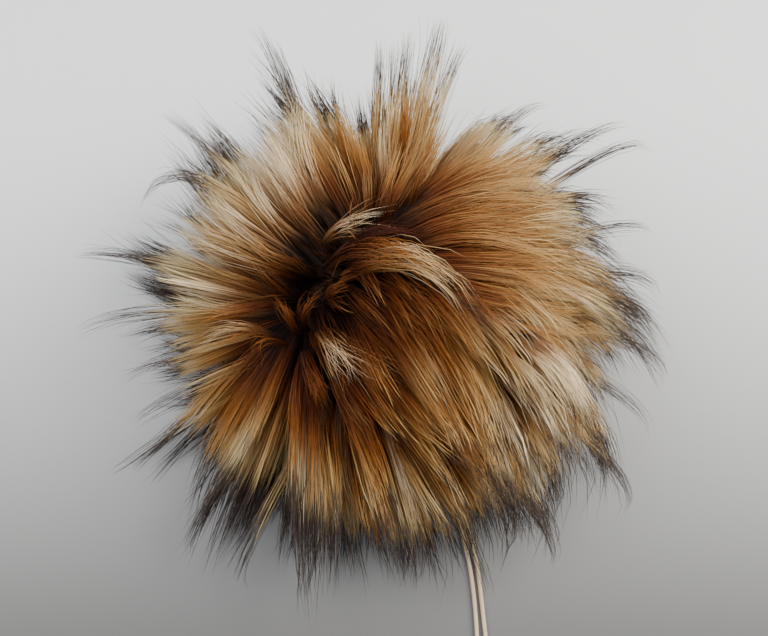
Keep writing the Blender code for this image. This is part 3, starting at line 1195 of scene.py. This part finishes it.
def strand_mesh(
    layer: StrandLayer,
    points: np.ndarray,
    outward: np.ndarray,
    tones: np.ndarray,
    colours: np.ndarray,
    rng: np.random.Generator,
) -> bpy.types.Object:
    """Closed three-sided tapered tubes along many middle lines.

    Each ring is a triangle square to the line, at the line plus radius times (cos a, sin a) in two
    directions square to it, and the last ring is one point. Across the map the strand takes its
    tone, along it the way along the colours. The shading leans towards the outward direction, so
    that neighbouring strands shade alike.

    Args:
        layer: Layer of the coat.
        points: Middle lines, n by rings by 3.
        outward: Outward direction at each point, n by rings by 3.
        tones: Place of each strand across the map.
        colours: Place of each point along the map, n by rings.
        rng: Source of the rings' turns and of the thickness.

    Returns:
        The joined object.
    """
    count, rings, _ = points.shape
    profile = np.interp(np.linspace(0.0, 1.0, rings) ** RING_EASE, *PROFILES[layer.shape])
    radius = 0.5 * layer.width * profile[None, :] * rng.uniform(*THICKNESS_SPREAD, (count, 1))
    tangent = unit(np.gradient(points, axis=1))
    level = outward - tangent * np.sum(outward * tangent, axis=2, keepdims=True)
    first = unit(np.cross(tangent, rng.normal(0.0, 1.0, (count, 1, 3))))
    second = np.cross(tangent, first)
    corner = rng.uniform(0.0, FULL_TURN, (count, 1, 1)) + np.arange(3) * (FULL_TURN / 3.0)
    spokes = first[:, :, None] * np.cos(corner)[..., None] + second[:, :, None] * np.sin(corner)[..., None]
    tube = points[:, :-1, None] + spokes[:, :-1] * radius[:, :-1, None, None]
    verts_each = 3 * (rings - 1) + 1
    verts = np.concatenate([tube.reshape(count, -1, 3), points[:, -1:]], axis=1)
    shading = unit(spokes[:, :-1] * SPOKE_SHADING + level[:, :-1, None])
    tip_shading = unit(level[:, -1:] + tangent[:, -1:] * TIP_LEAN)
    shading = np.concatenate([shading.reshape(count, -1, 3), tip_shading], axis=1)
    base = (np.arange(count) * verts_each)[:, None]

    ring = np.arange(rings - 2)[:, None] * 3
    here, following = np.arange(3), np.array([1, 2, 0])
    sides = np.stack(
        [ring + here, ring + following, ring + 3 + following, ring + 3 + here], axis=2
    ).reshape(1, -1, 4)
    sides = (base[..., None] + sides).reshape(-1, 4)
    last = 3 * (rings - 2)
    tips = np.stack([last + here, last + following, np.full(3, last + 3)], axis=1)[None]
    tips = (base[..., None] + tips).reshape(-1, 3)
    caps = base + np.array([[2, 1, 0]])
    obj = add_mesh(layer.name, verts.reshape(-1, 3), [sides, tips, caps])

    wide = SIDE_WIDTH
    left = (tones * (1.0 - 4.0 * wide) + 0.5 * wide)[:, None, None]
    height = colours * MAP_RANGE + MAP_FLOOR
    near = left + here[None, None, :] * wide
    far = near + wide
    low = np.repeat(height[:, :-2, None], 3, axis=2)
    high = np.repeat(height[:, 1:-1, None], 3, axis=2)
    near_all, far_all = np.broadcast_to(near, low.shape), np.broadcast_to(far, low.shape)
    side_uv = np.stack(
        [near_all, low, far_all, low, far_all, high, near_all, high], axis=-1
    ).reshape(-1, 2)
    end_low = np.broadcast_to(height[:, -2, None], (count, 3))
    end_high = np.broadcast_to(height[:, -1, None], (count, 3))
    tip_uv = np.stack(
        [near[:, 0], end_low, far[:, 0], end_low, (near[:, 0] + far[:, 0]) / 2.0, end_high], axis=-1
    ).reshape(-1, 2)
    start = left[:, 0, 0]
    floor, ceiling = (np.full(count, level) for level in CAP_LEVELS)
    cap_uv = np.stack(
        [start + 3 * wide, floor, start + 1.5 * wide, ceiling, start, floor], axis=-1
    ).reshape(-1, 2)
    add_uv(obj, np.concatenate([side_uv, tip_uv, cap_uv]))
    obj.data.normals_split_custom_set_from_vertices(shading.reshape(-1, 3))
    return obj


def new_group(name: str, inputs: dict[str, str], outputs: dict[str, str]) -> bpy.types.ShaderNodeTree:
    """Makes an empty shader node group with named sockets.

    Args:
        name: Group's name.
        inputs: Socket names and types that go in.
        outputs: Socket names and types that come out.

    Returns:
        The group, with its input and output nodes in place.
    """
    group = bpy.data.node_groups.new(name, "ShaderNodeTree")
    for label, kind in inputs.items():
        group.interface.new_socket(name=label, in_out="INPUT", socket_type=kind)
    for label, kind in outputs.items():
        group.interface.new_socket(name=label, in_out="OUTPUT", socket_type=kind)
    group.nodes.new("NodeGroupInput")
    group.nodes.new("NodeGroupOutput")
    return group


def ramp(tree: bpy.types.NodeTree, source: bpy.types.NodeSocket, stops: list[tuple]) -> bpy.types.NodeSocket:
    """Adds a colour ramp with the given stops.

    Args:
        tree: Node tree to add it to.
        source: Socket that drives it.
        stops: Pairs of position and linear colour.

    Returns:
        The ramp's colour output.
    """
    node = tree.nodes.new("ShaderNodeValToRGB")
    elements = node.color_ramp.elements
    while len(elements) < len(stops):
        elements.new(0.5)
    for element, (position, colour) in zip(elements, stops):
        element.position = position
        element.color = (*colour, 1.0)
    tree.links.new(source, node.inputs["Fac"])
    return node.outputs["Color"]


def mix_colours(
    tree: bpy.types.NodeTree,
    share: bpy.types.NodeSocket,
    first: bpy.types.NodeSocket,
    second: bpy.types.NodeSocket,
) -> bpy.types.NodeSocket:
    """Mixes two colours by a share.

    Args:
        tree: Node tree to add the mix to.
        share: Socket with the share of the second colour.
        first: First colour.
        second: Second colour.

    Returns:
        The mixed colour.
    """
    node = tree.nodes.new("ShaderNodeMix")
    node.data_type = "RGBA"
    tree.links.new(share, node.inputs["Factor"])
    tree.links.new(first, node.inputs["A"])
    tree.links.new(second, node.inputs["B"])
    return node.outputs["Result"]


def step_between(
    tree: bpy.types.NodeTree, source: bpy.types.NodeSocket, low: float, high: float
) -> bpy.types.NodeSocket:
    """Smooth step of a value between two limits.

    Args:
        tree: Node tree to add it to.
        source: Value to map.
        low: Where the step starts.
        high: Where it ends.

    Returns:
        Value from 0 to 1.
    """
    node = add_node(tree, "ShaderNodeMapRange", {"From Min": low, "From Max": high})
    node.interpolation_type = "SMOOTHSTEP"
    tree.links.new(source, node.inputs["Value"])
    return node.outputs["Result"]


# Near-black root colours: partly the fibres' own dark roots and partly painted shade for the deep, occluded
# part of the coat.
ROOT_AND_SHADE_STOPS = [(0.0, (0.010, 0.0024, 0.001)), (1.0, (0.016, 0.006, 0.003))]
LOW_STOPS = [
    (0.0, (0.068, 0.011, 0.0015)),
    (0.35, (0.140, 0.033, 0.004)),
    (0.7, (0.180, 0.064, 0.014)),
    (1.0, (0.360, 0.180, 0.075)),
]
MIDDLE_STOPS = [
    (0.0, (0.190, 0.038, 0.003)),
    (0.25, (0.340, 0.122, 0.017)),
    (0.5, (0.480, 0.280, 0.098)),
    (0.7, (0.520, 0.345, 0.190)),
    (0.85, (0.800, 0.600, 0.350)),
    (1.0, (0.960, 0.740, 0.470)),
]
HIGH_STOPS = [
    (0.0, (0.260, 0.090, 0.013)),
    (0.25, (0.490, 0.270, 0.085)),
    (0.5, (0.630, 0.470, 0.240)),
    (0.7, (0.670, 0.540, 0.360)),
    (0.85, (0.900, 0.680, 0.400)),
    (1.0, (1.000, 0.790, 0.490)),
]
TIP_STOPS = [(0.0, (0.050, 0.030, 0.021)), (1.0, (0.070, 0.054, 0.045))]
PALETTE_STEPS = (
    (LOW_STOPS, 0.07, 0.27), (MIDDLE_STOPS, 0.24, 0.48), (HIGH_STOPS, 0.44, 0.63), (TIP_STOPS, 0.66, 0.77)
)


def pile_palette() -> bpy.types.ShaderNodeTree:
    """Colours of the pile: tone across, root to tip along.

    Five ramps over the tone give the colour at the root, low, in the middle, high and at the tip,
    and smooth steps along the strand lead from each to the next. The near-black root colour is
    partly the fibres' own and partly painted shade deep in the coat.

    Returns:
        Group with the inputs Tone and Along and the output Colour.
    """
    group = new_group(
        "pile_palette",
        {"Tone": "NodeSocketFloat", "Along": "NodeSocketFloat"},
        {"Colour": "NodeSocketColor"},
    )
    source, sink = group.nodes["Group Input"], group.nodes["Group Output"]
    tone, along = source.outputs["Tone"], source.outputs["Along"]
    colour = ramp(group, tone, ROOT_AND_SHADE_STOPS)
    for stops, low, high in PALETTE_STEPS:
        colour = mix_colours(group, step_between(group, along, low, high), colour, ramp(group, tone, stops))
    group.links.new(colour, sink.inputs["Colour"])
    return group


def new_material(name: str) -> tuple[bpy.types.Material, bpy.types.ShaderNode]:
    """Makes a material with nodes.

    Args:
        name: Material's name.

    Returns:
        The material and its shader.
    """
    material = bpy.data.materials.new(name)
    material.use_nodes = True
    return material, material.node_tree.nodes["Principled BSDF"]


def add_node(tree: bpy.types.NodeTree, kind: str, values: dict[str, object]) -> bpy.types.Node:
    """Adds a node and sets its inputs.

    Args:
        tree: Node tree to add it to.
        kind: Node's type.
        values: Value of each input by its name.

    Returns:
        The node.
    """
    node = tree.nodes.new(kind)
    for label, value in values.items():
        node.inputs[label].default_value = value
    return node


def mapped_material(
    name: str, roughness: float, specular: float, shared: bpy.types.ShaderNodeTree
) -> tuple[bpy.types.Material, bpy.types.ShaderNode, bpy.types.Node, bpy.types.Node]:
    """Makes a material whose map goes through a mapping, and whose colour comes from a shared group.

    Args:
        name: Material's name.
        roughness: Its roughness.
        specular: Its specular level.
        shared: Shared group with the output Colour.

    Returns:
        The material, its shader, the mapping and the group's node.
    """
    material, shader = new_material(name)
    tree = material.node_tree
    shader.inputs["Roughness"].default_value = roughness
    shader.inputs["Specular IOR Level"].default_value = specular
    map_node = tree.nodes.new("ShaderNodeUVMap")
    map_node.uv_map = BAKE_MAP
    mapping = tree.nodes.new("ShaderNodeMapping")
    group = tree.nodes.new("ShaderNodeGroup")
    group.node_tree = shared
    tree.links.new(map_node.outputs["UV"], mapping.inputs["Vector"])
    tree.links.new(group.outputs["Colour"], shader.inputs["Base Color"])
    return material, shader, mapping, group


@dataclass(frozen=True)
class PileFinish:
    """Finish of a layer of pile."""

    name: str
    window: ColourWindow
    roughness: float = 0.60
    specular: float = 0.16

    def make(self, palette: bpy.types.ShaderNodeTree) -> bpy.types.Material:
        """Builds the material.

        Args:
            palette: Shared group with the pile's colours.

        Returns:
            The material.
        """
        material, _, mapping, group = mapped_material(self.name, self.roughness, self.specular, palette)
        tree, window = material.node_tree, self.window
        mapping.inputs["Location"].default_value = (window.tone_low, window.along_low, 0.0)
        mapping.inputs["Scale"].default_value = (
            window.tone_high - window.tone_low, window.along_high - window.along_low, 1.0
        )
        split = tree.nodes.new("ShaderNodeSeparateXYZ")
        tree.links.new(mapping.outputs["Vector"], split.inputs["Vector"])
        tree.links.new(split.outputs["X"], group.inputs["Tone"])
        tree.links.new(split.outputs["Y"], group.inputs["Along"])
        return material


FIBRE_NOISE = {"Scale": 9.0, "Detail": 4.0}
# FIBRE_SHADE darkens the yarn where the noise, and so its bump, is low: partly the fibres' own tone and
# partly painted shade in the grooves.
FIBRE_SHADE = {"From Min": 0.3, "From Max": 0.7, "To Max": 0.0}
FIBRE_DARKER = {"Value": 0.62, "Saturation": 1.15}


def yarn_fibres() -> bpy.types.ShaderNodeTree:
    """Fine fibres along a yarn: stretched noise that darkens it where the fibres lie low, partly their own
    tone and partly painted shade in the grooves between them, and raises it.

    Returns:
        Group with the inputs Vector, Colour and Depth and the outputs Colour and Height.
    """
    group = new_group(
        "yarn_fibres",
        {"Vector": "NodeSocketVector", "Colour": "NodeSocketColor", "Depth": "NodeSocketFloat"},
        {"Colour": "NodeSocketColor", "Height": "NodeSocketFloat"},
    )
    source, sink = group.nodes["Group Input"], group.nodes["Group Output"]
    noise = add_node(group, "ShaderNodeTexNoise", FIBRE_NOISE)
    shade = add_node(group, "ShaderNodeMapRange", FIBRE_SHADE)
    darker = add_node(group, "ShaderNodeHueSaturation", FIBRE_DARKER)
    group.links.new(source.outputs["Vector"], noise.inputs["Vector"])
    group.links.new(noise.outputs["Fac"], shade.inputs["Value"])
    group.links.new(source.outputs["Depth"], shade.inputs["To Min"])
    group.links.new(source.outputs["Colour"], darker.inputs["Color"])
    group.links.new(shade.outputs["Result"], darker.inputs["Fac"])
    group.links.new(darker.outputs["Color"], sink.inputs["Colour"])
    group.links.new(noise.outputs["Fac"], sink.inputs["Height"])
    return group


@dataclass(frozen=True)
class YarnFinish:
    """Finish of twisted cotton or of the ball's backing cloth."""

    name: str
    colour: Triple
    stretch: Triple
    depth: float
    bump: float
    bump_distance: float = 0.0002
    roughness: float = 0.85
    specular: float = 0.2

    def make(self, fibres: bpy.types.ShaderNodeTree) -> bpy.types.Material:
        """Builds the material.

        Args:
            fibres: Shared group of fine fibres.

        Returns:
            The material.
        """
        material, shader, mapping, group = mapped_material(self.name, self.roughness, self.specular, fibres)
        tree = material.node_tree
        mapping.inputs["Scale"].default_value = self.stretch
        group.inputs["Colour"].default_value = (*self.colour, 1.0)
        group.inputs["Depth"].default_value = self.depth
        bump = add_node(tree, "ShaderNodeBump", {"Strength": self.bump, "Distance": self.bump_distance})
        tree.links.new(mapping.outputs["Vector"], group.inputs["Vector"])
        tree.links.new(group.outputs["Height"], bump.inputs["Height"])
        tree.links.new(bump.outputs["Normal"], shader.inputs["Normal"])
        return material


COTTON = YarnFinish("cream_cotton", (0.86, 0.68, 0.47), (6.0, 60.0, 1.0), 0.8, 0.6)
BACKING = YarnFinish("backing_cloth", (0.035, 0.014, 0.006), (60.0, 40.0, 1.0), 0.7, 0.5)


@dataclass
class BackingBall:
    """The gathered ball of backing cloth that the pile grows from."""

    radius: float = 0.0316
    rings: int = 36
    spokes: int = 72
    pleats: int = 18
    pleat_depth: float = 0.0009
    pleats_from: float = 0.6 * math.pi
    pleats_full: float = 0.9 * math.pi
    flat_height: float = 0.0003

    def build(self, material: bpy.types.Material) -> bpy.types.Object:
        """Makes the ball: a sphere whose underside is drawn into pleats and pressed flat.

        A point is the centre plus the radius less pleat depth times a cosine of the turn, faded in
        towards the underside, and no point lies lower than the flat spot.

        Args:
            material: Its finish.

        Returns:
            The piece.
        """
        down = np.linspace(0.0, math.pi, self.rings + 1)[1:-1, None]
        turn = (np.arange(self.spokes) * FULL_TURN / self.spokes)[None, :]
        low = smooth_step(self.pleats_from, self.pleats_full, down)
        radius = self.radius - self.pleat_depth * low * (0.5 - 0.5 * np.cos(self.pleats * turn))
        body = np.stack(
            [radius * np.sin(down) * np.cos(turn), radius * np.sin(down) * np.sin(turn),
             radius * np.cos(down) + 0.0 * turn], axis=-1,
        ).reshape(-1, 3)
        poles = np.array([[0.0, 0.0, self.radius], [0.0, 0.0, -self.radius]])
        points = np.concatenate([body, poles]) + BALL_CENTRE
        points[:, 2] = np.maximum(points[:, 2], self.flat_height)
        obj = add_mesh("backing_ball", points, tube_faces(self.rings - 1, self.spokes))
        add_uv(obj, tube_map(1.0 - np.linspace(0.0, 1.0, self.rings + 1), self.spokes))
        place(obj, material, "fur", "fur")
        LOG.info("backing ball: radius %.1f mm", self.radius / MILLIMETRE)
        return obj


@dataclass
class TieStrand:
    """One twisted cotton strand of the tie, lying on the surface to its bare end."""

    name: str
    route: tuple[Pair, ...]
    diameter: float = 0.0014
    plies: int = 3
    twist_pitch: float = 0.0042
    groove: float = 0.22
    end_share: float = 0.35
    end_length: float = 0.0008
    sides: int = 12
    spacing: float = 0.0006
    map_margin: float = 0.02

    def plan(self) -> np.ndarray:
        """Plan points of the strand's middle line.

        Returns:
            Points, n by 2.
        """
        return smooth_route(np.array(self.route), self.spacing)

    def build(self, material: bpy.types.Material) -> bpy.types.Object:
        """Makes the strand: plies twisted round a middle line.

        The radius at a turn a and a length s is the outer radius times a mix of one and the
        absolute cosine of half the plies times (a minus the twist at s), which leaves a groove
        between neighbouring plies, and it closes in at the ends.

        Args:
            material: Its finish.

        Returns:
            The piece.
        """
        flat = self.plan()
        height = np.full((len(flat), 1), self.diameter / 2.0)
        line = np.concatenate([flat, height], axis=1)
        steps = np.linalg.norm(np.diff(line, axis=0), axis=1)
        length = np.concatenate([[0.0], np.cumsum(steps)])
        tangent = unit(np.gradient(line, axis=0))
        side = unit(np.cross(tangent, [0.0, 0.0, 1.0]))
        above = np.cross(side, tangent)
        turn = np.arange(self.sides) * FULL_TURN / self.sides
        twisted = turn[None, :] - FULL_TURN * length[:, None] / self.twist_pitch
        lobes = np.abs(np.cos(self.plies * twisted / 2.0))
        close = np.minimum(length, length[-1] - length)[:, None]
        closing = self.end_share + (1.0 - self.end_share) * smooth_step(0.0, self.end_length, close)
        radius = self.diameter / 2.0 * (1.0 - self.groove + self.groove * lobes) * closing
        rings = (
            line[:, None]
            + side[:, None] * (radius * np.cos(turn))[..., None]
            + above[:, None] * (radius * np.sin(turn))[..., None]
        )
        points = np.concatenate([rings.reshape(-1, 3), line[:1], line[-1:]])
        obj = add_mesh(self.name + "_yarn", points, tube_faces(len(line), self.sides))
        levels = self.map_margin + (1.0 - 2.0 * self.map_margin) * np.linspace(0.0, 1.0, len(line))
        add_uv(obj, tube_map(np.concatenate([[0.0], levels, [1.0]]), self.sides))
        place(obj, material, self.name, self.name)
        LOG.info("%s: %.0f mm long", self.name, length[-1] / MILLIMETRE)
        return obj


TIE_ROUTES = {
    "tie_cord_a": ((0.0080, -0.0143), (0.0180, -0.0400), (0.0290, -0.0690), (0.0325, -0.0990),
                   (0.0310, -0.1280), (0.0350, -0.1560)),
    "tie_cord_b": ((0.0106, -0.0133), (0.0206, -0.0392), (0.0313, -0.0680), (0.0352, -0.0985),
                   (0.0372, -0.1250), (0.0450, -0.1480)),
}


LIGHTS = (
    ("window", (0.72, 0.42, 0.62), 0.80, 16.5, (1.0, 0.975, 0.93)),
    ("fill", (-0.6, 0.3, 0.9), 1.2, 13.0, (0.97, 0.98, 1.0)),
)


@dataclass
class Studio:
    """Floor with painted shade towards the near side, soft lights and the camera."""

    camera_distance: float = 0.520
    field_width: float = 0.2477
    shift_across: float = 0.0029
    shift_up: float = -0.0019
    sensor: float = 36.0
    clip_start: float = 0.01
    floor_half: float = 2.0
    floor_lines: int = 9
    floor_height: float = -0.0002
    floor_roughness: float = 0.7
    # The floor's painted shade: where it fades, and its dark grey near colour.
    floor_shade_fade: Pair = (-0.14, 0.10)
    floor_near_shade: Triple = (0.088, 0.085, 0.081)
    floor_far: Triple = (0.90, 0.90, 0.89)
    fill_colour: tuple[float, float, float, float] = (0.86, 0.90, 0.95, 1.0)
    fill_strength: float = 0.54

    def camera(self) -> None:
        """Places the camera square to the face, with the ball a little left of and over the middle."""
        data = bpy.data.cameras.new("camera")
        data.sensor_width = self.sensor
        data.lens = self.sensor * self.camera_distance / self.field_width
        data.clip_start = self.clip_start
        where = BALL_CENTRE + OUT * self.camera_distance + ACROSS * self.shift_across + UP * self.shift_up
        bpy.context.scene.camera = stand("camera", data, ACROSS, UP, OUT, where)

    def light(self, name: str, where: Triple, size: float, power: float, colour: Triple) -> None:
        """Adds a square area light that faces the ball.

        Args:
            name: Light's name.
            where: Its place in face coordinates from the ball's centre.
            size: Side length.
            power: Power in watts.
            colour: Linear colour.
        """
        data = bpy.data.lights.new(name, "AREA")
        data.size = size
        data.energy = power
        data.color = colour
        place_at = BALL_CENTRE + np.array(where) @ FACE_AXES
        back = unit(place_at - BALL_CENTRE)
        side = unit(np.cross([0.0, 0.0, 1.0], back))
        stand(name, data, side, np.cross(back, side), back, place_at)

    def floor(self) -> None:
        """Lays the floor, a flat grid just under the part, pale far off and darkened towards the near side
        by painted shade.
        """
        count = self.floor_lines
        line = np.linspace(-self.floor_half, self.floor_half, count)
        grid = np.stack(np.meshgrid(line, line, indexing="xy"), axis=-1).reshape(-1, 2)
        points = np.concatenate([grid, np.full((len(grid), 1), self.floor_height)], axis=1)
        number = np.arange(count * count).reshape(count, count)
        faces = np.stack(
            [number[:-1, :-1], number[:-1, 1:], number[1:, 1:], number[1:, :-1]], axis=-1
        ).reshape(-1, 4)
        obj = add_mesh("floor", points, [faces])
        material, shader = new_material("pale_floor")
        shader.inputs["Roughness"].default_value = self.floor_roughness
        tree = material.node_tree
        place_node = tree.nodes.new("ShaderNodeTexCoord")
        split = tree.nodes.new("ShaderNodeSeparateXYZ")
        tree.links.new(place_node.outputs["Object"], split.inputs["Vector"])
        # Painted shade: dark grey on the near side, fading to pale beyond.
        shade = ramp(
            tree,
            step_between(tree, split.outputs["Y"], *self.floor_shade_fade),
            [(0.0, self.floor_near_shade), (1.0, self.floor_far)],
        )
        tree.links.new(shade, shader.inputs["Base Color"])
        obj.data.materials.append(material)

    def world(self) -> None:
        """Gives the room a soft even fill."""
        world = bpy.data.worlds.new("soft_fill")
        world.use_nodes = True
        background = world.node_tree.nodes["Background"]
        background.inputs["Color"].default_value = self.fill_colour
        background.inputs["Strength"].default_value = self.fill_strength
        bpy.context.scene.world = world

    def build(self) -> None:
        """Builds the whole studio."""
        self.camera()
        self.floor()
        self.world()
        for row in LIGHTS:
            self.light(*row)


def build_tie(fibres: bpy.types.ShaderNodeTree) -> list[np.ndarray]:
    """Builds both strands of the tie.

    Args:
        fibres: Shared group of fine fibres.

    Returns:
        Plan points of each strand.
    """
    cotton = COTTON.make(fibres)
    routes = []
    for name, route in TIE_ROUTES.items():
        strand = TieStrand(name, route)
        strand.build(cotton)
        routes.append(strand.plan()[::TIE_PATH_STEP])
    return routes


def main() -> None:
    """Builds the studio, the tie, the ball and the coat, in that order."""
    logging.basicConfig(level=logging.INFO, format="%(name)s: %(message)s")
    Studio().build()
    fibres = yarn_fibres()
    routes = build_tie(fibres)
    BackingBall().build(BACKING.make(fibres))
    palette = pile_palette()
    coat = FurCoat(routes=routes)
    for layer in LAYERS:
        coat.build_layer(layer, coat.lock_set, palette)
    for layer, table in ((FEATURE_LAYER, FEATURES), (WISP_LAYER, WISPS)):
        coat.build_layer(layer, placed_locks(table), palette)


if __name__ == "__main__":
    main()
